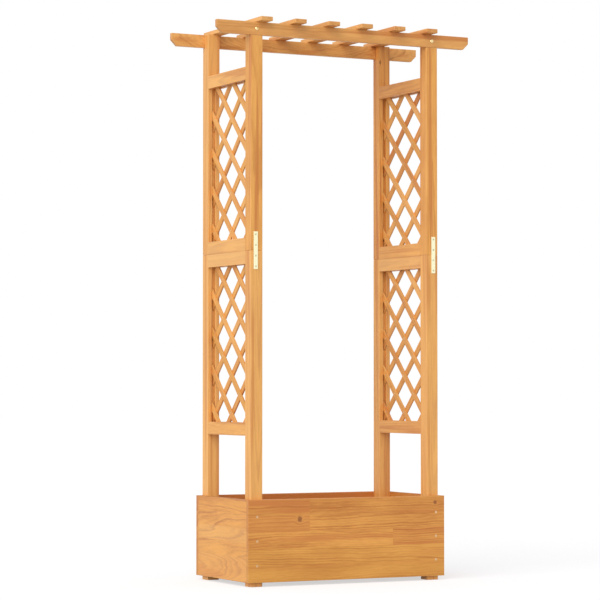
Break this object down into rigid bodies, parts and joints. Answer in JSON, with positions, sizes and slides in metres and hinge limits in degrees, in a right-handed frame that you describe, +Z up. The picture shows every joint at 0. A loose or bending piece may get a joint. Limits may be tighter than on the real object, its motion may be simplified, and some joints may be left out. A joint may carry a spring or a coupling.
{
  "type": "wooden planter with trellis arch",
  "caption": "Rectangular wooden trough planter with a diamond-lattice trellis at each end, joined overhead by two beams and a slatted roof.",
  "frame": {"origin": "on the ground under the middle of the planter, where the bounding box's bottom centre is", "axes": "+X along the trough to the right, +Y from the front to the back, +Z up"},
  "size_m": [1.003, 0.473, 1.9631],
  "materials": {
    "frame_wood": "orange-brown glazed softwood, satin",
    "board_wood": "orange-brown glazed glued-up softwood board, satin",
    "roof_wood": "orange-brown glazed softwood, satin",
    "lath_wood": "orange-brown glazed sawn laths, matt",
    "inner_wood": "glazed softwood inside the trough, matt",
    "brass": "pale brass plating, satin",
    "steel": "zinc-plated screw heads"
  },
  "bodies": {
    "root": {"front_board": "board_wood", "rear_board": "board_wood", "left_end_board": "board_wood", "right_end_board": "board_wood", "front_ledger": "inner_wood", "rear_ledger": "inner_wood", "floor_slat_1": "inner_wood", "floor_slat_2": "inner_wood", "floor_slat_3": "inner_wood", "floor_slat_4": "inner_wood", "floor_slat_5": "inner_wood", "floor_slat_6": "inner_wood", "left_front_lower_post": "frame_wood", "left_front_upper_post": "frame_wood", "left_front_plate": "brass", "left_rear_lower_post": "frame_wood", "left_rear_upper_post": "frame_wood", "left_rear_plate": "brass", "left_lower_bottom_rail": "frame_wood", "left_lower_top_rail": "frame_wood", "left_lower_lattice": "lath_wood", "left_upper_bottom_rail": "frame_wood", "left_upper_top_rail": "frame_wood", "left_upper_lattice": "lath_wood", "right_front_lower_post": "frame_wood", "right_front_upper_post": "frame_wood", "right_front_plate": "brass", "right_rear_lower_post": "frame_wood", "right_rear_upper_post": "frame_wood", "right_rear_plate": "brass", "right_lower_bottom_rail": "frame_wood", "right_lower_top_rail": "frame_wood", "right_lower_lattice": "lath_wood", "right_upper_bottom_rail": "frame_wood", "right_upper_top_rail": "frame_wood", "right_upper_lattice": "lath_wood", "front_beam": "roof_wood", "front_left_beam_screw": "brass", "front_left_screw_1": "steel", "front_left_screw_2": "steel", "front_left_screw_3": "steel", "front_right_beam_screw": "brass", "front_right_screw_1": "steel", "front_right_screw_2": "steel", "front_right_screw_3": "steel", "rear_beam": "roof_wood", "rear_left_beam_screw": "brass", "rear_left_screw_1": "steel", "rear_left_screw_2": "steel", "rear_left_screw_3": "steel", "rear_right_beam_screw": "brass", "rear_right_screw_1": "steel", "rear_right_screw_2": "steel", "rear_right_screw_3": "steel", "roof_slat_1": "roof_wood", "roof_slat_2": "roof_wood", "roof_slat_3": "roof_wood", "roof_slat_4": "roof_wood", "roof_slat_5": "roof_wood", "roof_slat_6": "roof_wood"}
  },
  "joints": []
}
